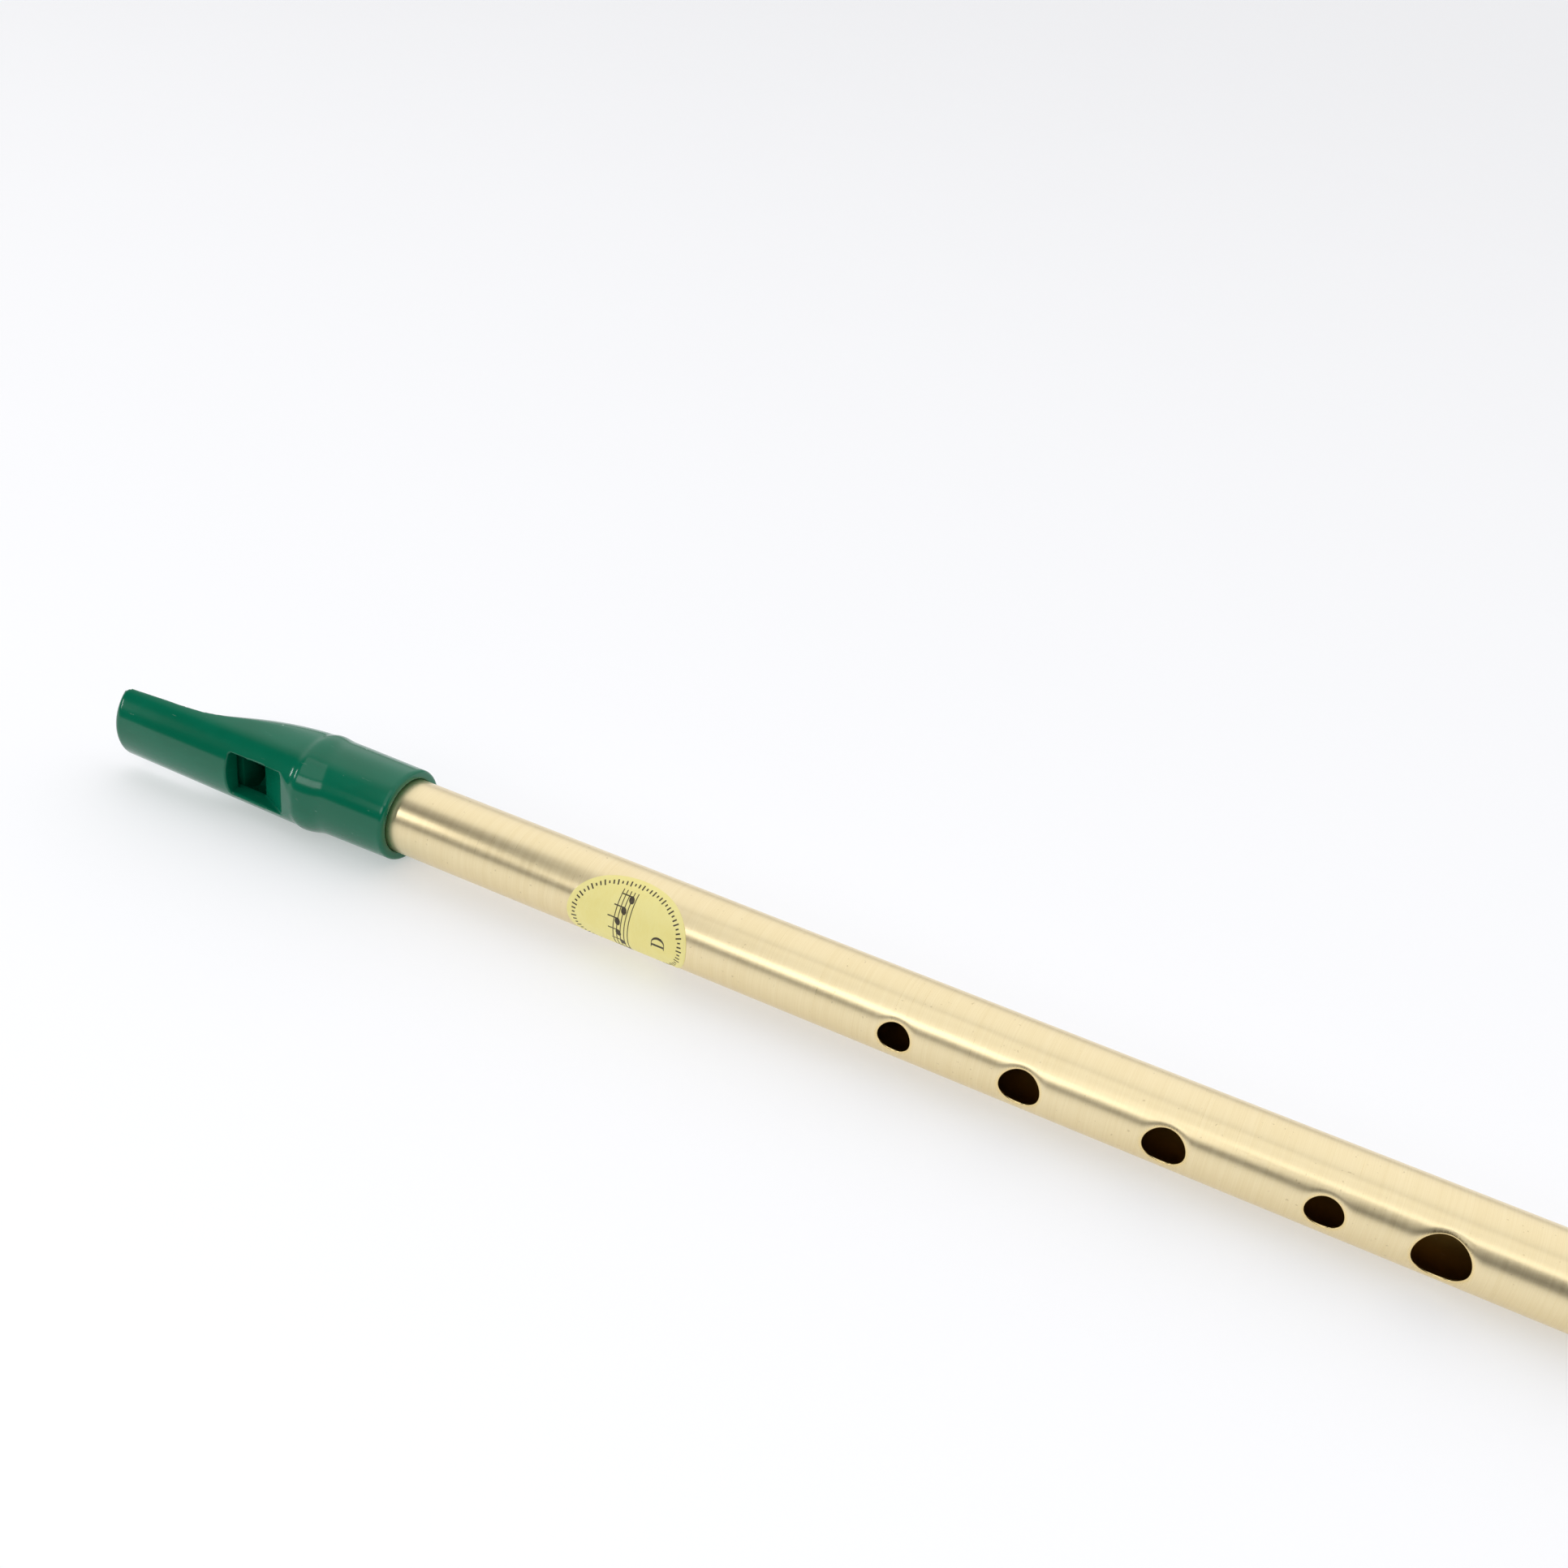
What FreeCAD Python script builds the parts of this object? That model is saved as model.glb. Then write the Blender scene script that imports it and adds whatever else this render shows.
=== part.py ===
import FreeCAD, Part
import math
import os

import Sketcher
from FreeCAD import Placement, Rotation, Vector

# Tin whistle: a brass tube with six finger holes and a paper label, and a moulded mouthpiece head
# whose socket slides on the tube for tuning.
# Row frame, in mm: the origin is on the tube's axis at its foot end, +X points out of the foot,
# the finger holes and the window face -Y, and +Z is up as the whistle lies on its side.
# The head's own frame has its origin at the socket rim, so there x runs from the rim (0) to the
# beak's tip (negative), and "depth" values are measured from the axis towards the front (-Y).

doc = FreeCAD.newDocument("tin_whistle")

# Driving dimensions -----------------------------------------------------------------------------

DIMENSIONS = {
    # tube
    "tube_length": 259.7,        # cut length, of which socket_cover is hidden in the head
    "tube_diameter": 13.0,
    "tube_wall": 0.4,
    "socket_cover": 18.2,        # length of tube inside the socket when the head is pushed home
    # finger holes, distance from the foot and diameter, lowest note first
    "hole_a_x": 48.5, "hole_a_dia": 5.4,
    "hole_b_x": 69.2, "hole_b_dia": 7.6,
    "hole_c_x": 84.7, "hole_c_dia": 5.3,
    "hole_d_x": 107.2, "hole_d_dia": 6.2,
    "hole_e_x": 128.8, "hole_e_dia": 6.2,
    "hole_f_x": 148.6, "hole_f_dia": 5.2,
    # oval paper label, wrapped round the front of the tube
    "label_centre_x": 194.8,     # from the foot
    "label_length": 21.8,
    "label_width": 17.6,         # along the curve of the tube
    "label_thick": 0.08,
    # head: collar round the socket
    "socket_depth": 18.5,
    "socket_clearance": 0.03,    # radial, so that the head slides for tuning
    "socket_lead": 0.3,          # rounded-off entry
    "rim_radius": 8.05,
    "rim_round": 0.6,
    "collar_radius": 8.2,
    "collar_length": 13.0,
    # head: shoulder ring and barrel, whose axis is off the tube's towards the front
    "barrel_offset": 0.4,
    "ring_radius": 8.7,
    "ring_front": 16.6,
    "ring_back": 18.3,
    "ring_step": 0.5,
    "ring_sink": 0.12,           # how far the ring's front slope runs in under the collar
    "barrel_radius": 8.45,
    "tip_radius": 8.0,
    "head_length": 58.6,
    "tip_round": 1.9,
    # head: the back of the barrel is a round bar bent towards the front, and the lips are flatter
    "back_radius": 8.5,
    "back_start": 10.0,
    "bend_start": 15.8,
    "bend_radius": 34.2,
    "bend_angle": 28.0,
    "lips_start": 38.0,
    "lips_start_depth": 3.82,
    "lips_tip_depth": 4.5,
    # head: window, ramp and windway
    "window_mouth_end": 32.6,
    "window_half_width": 4.08,
    "blade_x": 27.4,
    "blade_under": 4.3,
    "blade_lip": 0.25,
    "ramp_end": 21.1,
    "ramp_end_depth": 7.74,
    "windway_floor": 4.1,
    "windway_roof": 5.4,
    "windway_tip_floor": 5.6,
    "windway_tip_roof": 6.6,
    # head: air chamber under the window, and the block that ends it
    "chamber_radius": 5.88,
    "chamber_wall": 1.5,
    "block_length": 13.0,
    "overrun": 1.0,              # how far a cutter passes the face that it opens
}

sheet = doc.addObject("Spreadsheet::Sheet", "dims")


def addCell(alias, value):
    row = addCell.row
    sheet.set(f"A{row}", alias)
    sheet.set(f"B{row}", str(value))
    sheet.setAlias(f"B{row}", alias)
    addCell.row += 1


addCell.row = 1
for alias, value in DIMENSIONS.items():
    addCell(alias, value)
doc.recompute()


# Helpers ----------------------------------------------------------------------------------------

def bind(obj, **expressions):
    for prop, expression in expressions.items():
        obj.setExpression(prop.replace("__", "."), expression)


def newBody(label):
    body = doc.addObject("PartDesign::Body", label)
    body.Label = label
    return body


def newSketch(body, name, role):
    sketch = body.newObject("Sketcher::SketchObject", name)
    plane = [item for item in body.Origin.OriginFeatures if item.Role == role][0]
    sketch.AttachmentSupport = [(plane, "")]
    sketch.MapMode = "FlatFace"
    return sketch


def bindPoint(sketch, geometry, vertex, name, x_rule, y_rule):
    """Ties one end of a line to the sheet, measured from the sketch's origin."""
    for axis, kind, rule in (("x", "DistanceX", x_rule), ("y", "DistanceY", y_rule)):
        start = sketch.getPoint(geometry, vertex)
        size = start.x if axis == "x" else start.y
        index = sketch.addConstraint(Sketcher.Constraint(kind, -1, 1, geometry, vertex, size))
        sketch.renameConstraint(index, f"{name}_{axis}")
        sketch.setExpression(f"Constraints.{name}_{axis}", rule)


def outline(sketch, corners):
    """A closed outline of straight lines. Each corner is (name, x rule, y rule)."""
    points = [Vector(value(x_rule), value(y_rule), 0) for _, x_rule, y_rule in corners]
    count = len(points)
    lines = [sketch.addGeometry(Part.LineSegment(points[i], points[(i + 1) % count]), False)
             for i in range(count)]
    for i in range(count):
        sketch.addConstraint(Sketcher.Constraint("Coincident", lines[i], 2, lines[(i + 1) % count], 1))
    for line, (name, x_rule, y_rule) in zip(lines, corners):
        bindPoint(sketch, line, 1, name, x_rule, y_rule)


def value(rule):
    """The number that a rule such as '-dims.blade_x' gives."""
    return float(sheet.evalExpression(rule.replace("dims.", "")))


def circle(sketch, name, radius_rule, x_rule="0", y_rule="0"):
    centre = Vector(value(x_rule), value(y_rule), 0)
    index = sketch.addGeometry(Part.Circle(centre, Vector(0, 0, 1), value(radius_rule)), False)
    sketch.renameConstraint(sketch.addConstraint(
        Sketcher.Constraint("Radius", index, value(radius_rule))), f"{name}_r")
    sketch.setExpression(f"Constraints.{name}_r", radius_rule)
    bindPoint(sketch, index, 3, name, x_rule, y_rule)


def revolved(body, sketch, name):
    feature = body.newObject("PartDesign::Revolution", name)
    feature.Profile = sketch
    feature.ReferenceAxis = (sketch, ["H_Axis"])
    feature.Angle = 360
    return feature


def sideways(body, sketch, name, width_rule):
    """Extrudes a side view (in XY) both ways along Z."""
    feature = body.newObject("PartDesign::Pad", name)
    feature.Profile = sketch
    feature.Midplane = True
    feature.setExpression("Length", width_rule)
    return feature


def boolean(kind, name, base, tool):
    feature = doc.addObject(kind, name)
    feature.Base = base
    feature.Tool = tool
    return feature


# Tube -------------------------------------------------------------------------------------------

def makeTube():
    body = newBody("tube")
    section = newSketch(body, "tube_section", "YZ_Plane")
    circle(section, "outside", "dims.tube_diameter / 2")
    circle(section, "inside", "dims.tube_diameter / 2 - dims.tube_wall")
    pad = body.newObject("PartDesign::Pad", "tube_wall_pad")
    pad.Profile = section
    pad.Reversed = True
    bind(pad, Length="dims.tube_length")
    doc.recompute()
    solid_volume = pad.Shape.Volume

    holes = newSketch(body, "finger_hole_centres", "XZ_Plane")
    for key in "abcdef":
        circle(holes, f"hole_{key}", f"dims.hole_{key}_dia / 2", f"-dims.hole_{key}_x")
    drilled = body.newObject("PartDesign::Pocket", "finger_holes")
    drilled.Profile = holes
    drilled.Reversed = True
    bind(drilled, Length="dims.tube_diameter")
    doc.recompute()
    if not drilled.Shape.Volume < solid_volume:
        raise RuntimeError("the finger holes cut nothing")
    finger_reach = Part.makeCylinder(value("dims.hole_d_dia / 4"), value("dims.tube_diameter"),
                                     Vector(-value("dims.hole_d_x"), 0, 0), Vector(0, -1, 0))
    if drilled.Shape.common(finger_reach).Volume > 1e-6:
        raise RuntimeError("the finger holes are not on the front")
    return body


# Label ------------------------------------------------------------------------------------------

def makeLabel():
    # An oval of thin paper laid round the tube: its outline in the front view is worked out from
    # the oval's outline measured along the curve.
    radius = value("dims.tube_diameter / 2")
    half_length = value("dims.label_length / 2")
    half_width = value("dims.label_width / 2")
    outer = radius + value("dims.label_thick")
    centre = Vector(-value("dims.label_centre_x"), 0, 0)
    steps = 36
    points = []
    for i in range(steps):
        turn = 2 * math.pi * i / steps
        along = half_length * math.cos(turn)
        round_angle = half_width * math.sin(turn) / radius
        points.append(centre + Vector(along, 0, radius * math.sin(round_angle)))
    edge = Part.BSplineCurve()
    edge.interpolate(Points=points, PeriodicFlag=True)
    face = Part.Face(Part.Wire([edge.toShape()]))
    prism = face.extrude(Vector(0, -2 * radius, 0))
    start = centre - Vector(half_length + value("dims.overrun"), 0, 0)
    length = 2 * (half_length + value("dims.overrun"))
    skin = Part.makeCylinder(outer, length, start, Vector(1, 0, 0))
    skin = skin.cut(Part.makeCylinder(radius, length, start, Vector(1, 0, 0)))
    label = doc.addObject("Part::Feature", "label")
    label.Shape = skin.common(prism).Solids[0]
    return label


# Head -------------------------------------------------------------------------------------------

def makeBackPath():
    """The centre line of the barrel's back: straight, then bent towards the front, then straight."""
    path = doc.addObject("Sketcher::SketchObject", "back_path")
    axis = "-dims.barrel_offset"
    bend_x = "-dims.bend_start - dims.bend_radius * sin(dims.bend_angle * 1 deg)"
    bend_y = f"{axis} - dims.bend_radius * (1 - cos(dims.bend_angle * 1 deg))"
    end_x = "-dims.head_length - dims.back_start"
    end_y = f"{bend_y} - (({bend_x}) - ({end_x})) * tan(dims.bend_angle * 1 deg)"
    start = Vector(value("-dims.back_start"), value(axis), 0)
    bend_from = Vector(value("-dims.bend_start"), value(axis), 0)
    bend_to = Vector(value(bend_x), value(bend_y), 0)
    end = Vector(value(end_x), value(end_y), 0)
    centre = Vector(value("-dims.bend_start"), value(f"{axis} - dims.bend_radius"), 0)
    turn = math.radians(value("dims.bend_angle"))
    near = path.addGeometry(Part.LineSegment(start, bend_from), False)
    bend = path.addGeometry(Part.ArcOfCircle(
        Part.Circle(centre, Vector(0, 0, 1), value("dims.bend_radius")),
        math.pi / 2, math.pi / 2 + turn), False)
    far = path.addGeometry(Part.LineSegment(bend_to, end), False)
    path.addConstraint([
        Sketcher.Constraint("Coincident", near, 2, bend, 1),
        Sketcher.Constraint("Coincident", bend, 2, far, 1),
    ])
    bindPoint(path, near, 1, "start", "-dims.back_start", axis)
    bindPoint(path, near, 2, "bend_from", "-dims.bend_start", axis)
    bindPoint(path, far, 1, "bend_to", bend_x, bend_y)
    bindPoint(path, far, 2, "end", end_x, end_y)
    path.renameConstraint(path.addConstraint(
        Sketcher.Constraint("Radius", bend, value("dims.bend_radius"))), "bend_r")
    path.setExpression("Constraints.bend_r", "dims.bend_radius")
    return path


def backBar(name, path, thinner):
    """The bent round bar that shapes the barrel's back, or its chamber when thinner."""
    ring = doc.addObject("Part::Circle", f"{name}_ring")
    ring.Placement = Placement(Vector(0, 0, 0), Rotation(Vector(0, 1, 0), -90))
    bind(ring, Radius=f"dims.back_radius - {thinner}",
         Placement__Base__x="-dims.back_start", Placement__Base__y="-dims.barrel_offset")
    bar = doc.addObject("Part::Sweep", name)
    bar.Sections = [ring]
    bar.Spine = (path, ["Edge1", "Edge2", "Edge3"])
    bar.Solid = True
    bar.Frenet = False
    return bar


def makeLips():
    """The flatter stretch near the tip, where the lips hold the beak."""
    body = newBody("lips")
    side = newSketch(body, "lips_side", "XY_Plane")
    outline(side, [
        ("start_low", "-dims.lips_start", "-dims.lips_start_depth"),
        ("tip_low", "-dims.head_length - dims.overrun", "-dims.lips_tip_depth"),
        ("tip_high", "-dims.head_length - dims.overrun", "-dims.tube_diameter"),
        ("start_high", "-dims.lips_start", "-dims.tube_diameter"),
    ])
    sideways(body, side, "lips_prism", "2 * dims.tube_diameter")
    return body


def makeShoulder():
    """A disc that leaves the shoulder ring whole."""
    disc = doc.addObject("Part::Cylinder", "shoulder_disc")
    disc.Placement = Placement(Vector(0, 0, 0), Rotation(Vector(0, 1, 0), 90))
    bind(disc, Radius="dims.tube_diameter", Height="dims.ring_back + 2 * dims.ring_step",
         Placement__Base__x="-dims.ring_back - 2 * dims.ring_step")
    return disc


def makeBarrel():
    body = newBody("barrel")
    bind(body, Placement__Base__y="-dims.barrel_offset")
    side = newSketch(body, "barrel_side", "XY_Plane")
    outline(side, [
        ("tip", "-dims.head_length", "0"),
        ("tip_corner", "-dims.head_length", "dims.tip_radius"),
        ("shoulder", "-dims.ring_back - dims.ring_step / 2", "dims.barrel_radius"),
        ("ring_rise", "-dims.ring_back", "dims.ring_radius"),
        ("ring_top", "-dims.ring_front", "dims.ring_radius"),
        ("ring_fall", "-dims.collar_length", "dims.collar_radius - dims.barrel_offset - dims.ring_sink"),
        ("inner", "-dims.collar_length", "0"),
    ])
    barrel = revolved(body, side, "barrel_turned")
    doc.recompute()
    rounds = body.newObject("PartDesign::Fillet", "tip_rounded")
    rounds.Base = (barrel, [edgeNear(barrel, "-dims.head_length", "dims.tip_radius")])
    bind(rounds, Radius="dims.tip_round")
    doc.recompute()
    ring_edges = [edgeNear(rounds, "-dims.ring_back", "dims.ring_radius"),
                  edgeNear(rounds, "-dims.ring_front", "dims.ring_radius")]
    softened = body.newObject("PartDesign::Fillet", "ring_rounded")
    softened.Base = (rounds, ring_edges)
    bind(softened, Radius="dims.ring_step / 2")
    return body


def edgeNear(feature, x_rule, radius_rule):
    """The name of the round edge at one place along the axis and of one radius."""
    for number, edge in enumerate(feature.Shape.Edges, start=1):
        curve = edge.Curve
        if curve.TypeId != "Part::GeomCircle":
            continue
        if abs(curve.Center.x - value(x_rule)) < 0.01 and abs(curve.Radius - value(radius_rule)) < 0.01:
            return f"Edge{number}"
    raise RuntimeError(f"no round edge at {x_rule}")


def makeCollar():
    body = newBody("collar")
    side = newSketch(body, "collar_side", "XY_Plane")
    outline(side, [
        ("inner_back", "-dims.ring_back", "0"),
        ("outer_back", "-dims.ring_back", "dims.collar_radius"),
        ("outer_front", "-dims.collar_length", "dims.collar_radius"),
        ("rim", "0", "dims.rim_radius"),
        ("rim_inner", "0", "0"),
    ])
    turned = revolved(body, side, "collar_turned")
    doc.recompute()
    rounded = body.newObject("PartDesign::Fillet", "rim_rounded")
    rounded.Base = (turned, [edgeNear(turned, "0", "dims.rim_radius")])
    bind(rounded, Radius="dims.rim_round")
    return body


def makeWindowCut():
    # Side view of the window: a straight wall on the mouth side, the blade's thin lip, the ramp
    # behind it and a flatter relief that runs out on the barrel.
    body = newBody("window_cut")
    relief_end = "-dims.ring_back - dims.ring_step"
    side = newSketch(body, "window_side", "XY_Plane")
    outline(side, [
        ("mouth_low", "-dims.window_mouth_end", "-dims.windway_floor"),
        ("mouth_high", "-dims.window_mouth_end", "-dims.tube_diameter"),
        ("relief_high", relief_end, "-dims.tube_diameter"),
        ("relief_low", relief_end, "-dims.barrel_radius - dims.barrel_offset"),
        ("ramp_high", "-dims.ramp_end", "-dims.ramp_end_depth"),
        ("lip_high", "-dims.blade_x", "-dims.blade_under - dims.blade_lip"),
        ("lip_low", "-dims.blade_x", "-dims.windway_floor"),
    ])
    sideways(body, side, "window_prism", "2 * dims.window_half_width")
    return body


def makeWindwayCut():
    body = newBody("windway_cut")
    side = newSketch(body, "windway_side", "XY_Plane")
    tip = "-dims.head_length - dims.overrun"
    outline(side, [
        ("exit_floor", "-dims.window_mouth_end", "-dims.windway_floor"),
        ("exit_roof", "-dims.window_mouth_end", "-dims.windway_roof"),
        ("entry_roof", tip, "-dims.windway_tip_roof"),
        ("entry_floor", tip, "-dims.windway_tip_floor"),
    ])
    sideways(body, side, "windway_prism", "2 * dims.window_half_width")
    return body


def makeSocketCut():
    body = newBody("socket_cut")
    side = newSketch(body, "socket_side", "XY_Plane")
    bore = "dims.tube_diameter / 2 + dims.socket_clearance"
    outline(side, [
        ("mouth_centre", "dims.overrun", "0"),
        ("stop_centre", "-dims.socket_depth", "0"),
        ("stop_edge", "-dims.socket_depth", bore),
        ("lead_in", "-dims.socket_lead", bore),
        ("lead_out", "0", f"{bore} + dims.socket_lead"),
        ("mouth_edge", "dims.overrun", f"{bore} + dims.socket_lead"),
    ])
    revolved(body, side, "socket_turned")
    return body


def makeChamberCut(path):
    """The round air chamber between the socket and the window, flat under the blade."""
    body = newBody("chamber_round")
    section = newSketch(body, "chamber_section", "YZ_Plane")
    circle(section, "chamber", "dims.chamber_radius")
    pad = body.newObject("PartDesign::Pad", "chamber_pad")
    pad.Profile = section
    pad.Reversed = True
    bind(pad, Length="dims.window_mouth_end")
    flat = newSketch(body, "blade_underside", "XY_Plane")
    outline(flat, [
        ("near", "dims.overrun", "-dims.blade_under"),
        ("far", "-dims.window_mouth_end - dims.overrun", "-dims.blade_under"),
        ("far_out", "-dims.window_mouth_end - dims.overrun", "-dims.tube_diameter"),
        ("near_out", "dims.overrun", "-dims.tube_diameter"),
    ])
    doc.recompute()
    round_volume = pad.Shape.Volume
    cut = body.newObject("PartDesign::Pocket", "blade_flat")
    cut.Profile = flat
    cut.Midplane = True
    bind(cut, Length="2 * dims.tube_diameter")
    doc.recompute()
    if not cut.Shape.Volume < round_volume:
        raise RuntimeError("the flat under the blade cuts nothing")
    return boolean("Part::Common", "chamber_cut", body, backBar("chamber_back", path, "dims.chamber_wall"))


def makeBlockCore(path):
    """The round seat behind the window, closed by the wall at the back."""
    body = newBody("block_round")
    section = newSketch(body, "block_section", "YZ_Plane")
    circle(section, "block", "dims.chamber_radius")
    pad = body.newObject("PartDesign::Pad", "block_pad")
    pad.Profile = section
    pad.Reversed = True
    bind(pad, Length="dims.block_length")
    bind(body, Placement__Base__x="-dims.window_mouth_end")
    return boolean("Part::Common", "block_core", body, backBar("block_back", path, "dims.chamber_wall"))


def makeAboveFloor():
    """Everything in front of the sloping windway floor."""
    body = newBody("above_floor")
    side = newSketch(body, "above_floor_side", "XY_Plane")
    outline(side, [
        ("exit_floor", "-dims.window_mouth_end", "-dims.windway_floor"),
        ("entry_floor", "-dims.head_length - dims.overrun", "-dims.windway_tip_floor"),
        ("entry_out", "-dims.head_length - dims.overrun", "-dims.tube_diameter"),
        ("exit_out", "-dims.window_mouth_end", "-dims.tube_diameter"),
    ])
    sideways(body, side, "above_floor_prism", "2 * dims.tube_diameter")
    return body


def makeHead():
    path = makeBackPath()
    outside = doc.addObject("Part::MultiFuse", "back_outside")
    outside.Shapes = [backBar("back_bar", path, "0"), makeLips(), makeShoulder()]
    shaped = boolean("Part::Common", "barrel_shaped", makeBarrel(), outside)
    blank = boolean("Part::Fuse", "head_blank", shaped, makeCollar())
    core = makeBlockCore(path)
    above = makeAboveFloor()
    seat = boolean("Part::Cut", "block_seat", core, above)
    block = boolean("Part::Cut", "fipple_block", core, above)
    hollow = doc.addObject("Part::MultiFuse", "head_hollow")
    hollow.Shapes = [makeSocketCut(), makeChamberCut(path), seat, makeWindowCut(), makeWindwayCut()]
    head = boolean("Part::Cut", "mouthpiece_head", blank, hollow)
    for piece in (head, block):
        bind(piece, Placement__Base__x="dims.socket_cover - dims.tube_length")
    return head, block


# Assembly ---------------------------------------------------------------------------------------

tube = makeTube()
label = makeLabel()
head, block = makeHead()
doc.recompute()

for item in doc.Objects:
    if "Invalid" in item.State or "Error" in item.State:
        raise RuntimeError(f"{item.Name} failed: {item.State}")

os.makedirs("parts", exist_ok=True)
for piece in (tube, label, head, block):
    shape = piece.Shape
    if shape.isNull() or not shape.isValid() or len(shape.Solids) != 1:
        raise RuntimeError(f"{piece.Label} isn't one valid solid")
    shape.exportStep(f"parts/{piece.Label}.step")
    box = shape.optimalBoundingBox()
    print(f"{piece.Label}: {shape.Volume:.1f} mm3, x {box.XMin:.2f} to {box.XMax:.2f}, "
          f"y {box.YMin:.2f} to {box.YMax:.2f}, z {box.ZMin:.2f} to {box.ZMax:.2f}")
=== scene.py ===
import bpy
import bmesh
import math
import numpy as np
from mathutils import Matrix, Vector


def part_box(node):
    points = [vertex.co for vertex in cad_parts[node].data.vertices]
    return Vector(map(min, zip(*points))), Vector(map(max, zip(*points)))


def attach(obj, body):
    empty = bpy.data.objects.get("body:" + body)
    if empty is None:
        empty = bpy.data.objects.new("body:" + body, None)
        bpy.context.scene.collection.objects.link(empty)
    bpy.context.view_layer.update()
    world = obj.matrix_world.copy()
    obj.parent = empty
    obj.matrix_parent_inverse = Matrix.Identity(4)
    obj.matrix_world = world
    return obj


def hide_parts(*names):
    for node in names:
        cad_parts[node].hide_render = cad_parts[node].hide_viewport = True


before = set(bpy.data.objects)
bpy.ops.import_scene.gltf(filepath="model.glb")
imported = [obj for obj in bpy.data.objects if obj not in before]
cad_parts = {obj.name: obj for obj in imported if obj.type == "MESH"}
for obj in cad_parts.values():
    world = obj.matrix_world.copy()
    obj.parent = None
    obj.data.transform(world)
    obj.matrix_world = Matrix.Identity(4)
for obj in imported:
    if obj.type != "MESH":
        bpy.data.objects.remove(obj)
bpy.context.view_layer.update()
mm = 0.001

tubeLow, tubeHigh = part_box("tube")
headLow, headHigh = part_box("mouthpiece_head")
labelLow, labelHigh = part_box("label")
tubeRadius = tubeHigh.z
rimX = headHigh.x            # the end of the head that the tube goes into
print("frame loaded, tube radius", round(tubeRadius / mm, 2), "mm")


# Node trees: one class for sockets, so that sums read as Python, and one method for every other node

class Wire:
    def __init__(self, tree, socket):
        self.tree = tree
        self.socket = socket

    def sum(self, operation, first, second=0.0):
        return addNode(self.tree, "ShaderNodeMath", {"operation": operation}, {0: first, 1: second})

    def __add__(self, other):
        return self.sum("ADD", self, other)

    def __radd__(self, other):
        return self.sum("ADD", other, self)

    def __sub__(self, other):
        return self.sum("SUBTRACT", self, other)

    def __rsub__(self, other):
        return self.sum("SUBTRACT", other, self)

    def __mul__(self, other):
        return self.sum("MULTIPLY", self, other)

    def __truediv__(self, other):
        return self.sum("DIVIDE", self, other)

    def out(self, name):     # another output of the same node
        return Wire(self.tree, self.socket.node.outputs[name])


def addNode(tree, kind, settings=None, values=None, output=0):
    node = tree.nodes.new(kind)
    for name, setting in (settings or {}).items():
        if name == "stops":
            ramp = node.color_ramp.elements
            while len(ramp) > 1:
                ramp.remove(ramp[-1])
            for i, (place, colour) in enumerate(setting):
                stop = ramp[0] if i == 0 else ramp.new(place)
                stop.position = place
                stop.color = (*colour, 1) if len(colour) == 3 else colour
        else:
            setattr(node, name, setting)
    for key, value in (values or {}).items():
        if isinstance(value, Wire):
            tree.links.new(value.socket, node.inputs[key])
        else:
            node.inputs[key].default_value = value
    return Wire(tree, node.outputs[output]) if len(node.outputs) else node


def smoothRange(value, low, high, toLow=0.0, toHigh=1.0):
    return addNode(value.tree, "ShaderNodeMapRange", {"interpolation_type": "SMOOTHSTEP"},
                   {0: value, 1: low, 2: high, 3: toLow, 4: toHigh})


def mixColour(tree, factor, first, second, blend="MIX"):
    first = (*first, 1) if isinstance(first, tuple) else first
    second = (*second, 1) if isinstance(second, tuple) else second
    return addNode(tree, "ShaderNodeMix", {"data_type": "RGBA", "blend_type": blend},
                   {0: factor, 6: first, 7: second}, output=2)


def newMaterial(name):
    material = bpy.data.materials.new(name)
    material.use_nodes = True
    material.node_tree.nodes.clear()
    return material, material.node_tree


def noise(tree, place, stretch, detail=2.0, roughness=0.5):     # stretch is features per metre
    mapped = addNode(tree, "ShaderNodeMapping", None, {"Vector": place, "Scale": stretch})
    return addNode(tree, "ShaderNodeTexNoise", None,
                   {"Vector": mapped, "Scale": 1.0, "Detail": detail, "Roughness": roughness})


def bump(tree, height, distance, strength=1.0, below=None):
    values = {"Height": height, "Distance": distance, "Strength": strength}
    if below is not None:
        values["Normal"] = below
    return addNode(tree, "ShaderNodeBump", None, values)


def finishSurface(tree, **sockets):
    named = {key.replace("_", " "): value for key, value in sockets.items()}
    shader = addNode(tree, "ShaderNodeBsdfPrincipled", None, named)
    addNode(tree, "ShaderNodeOutputMaterial", None, {"Surface": shader})


def objectPlace(tree):
    return addNode(tree, "ShaderNodeTexCoord", output="Object")


# Finishes

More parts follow.
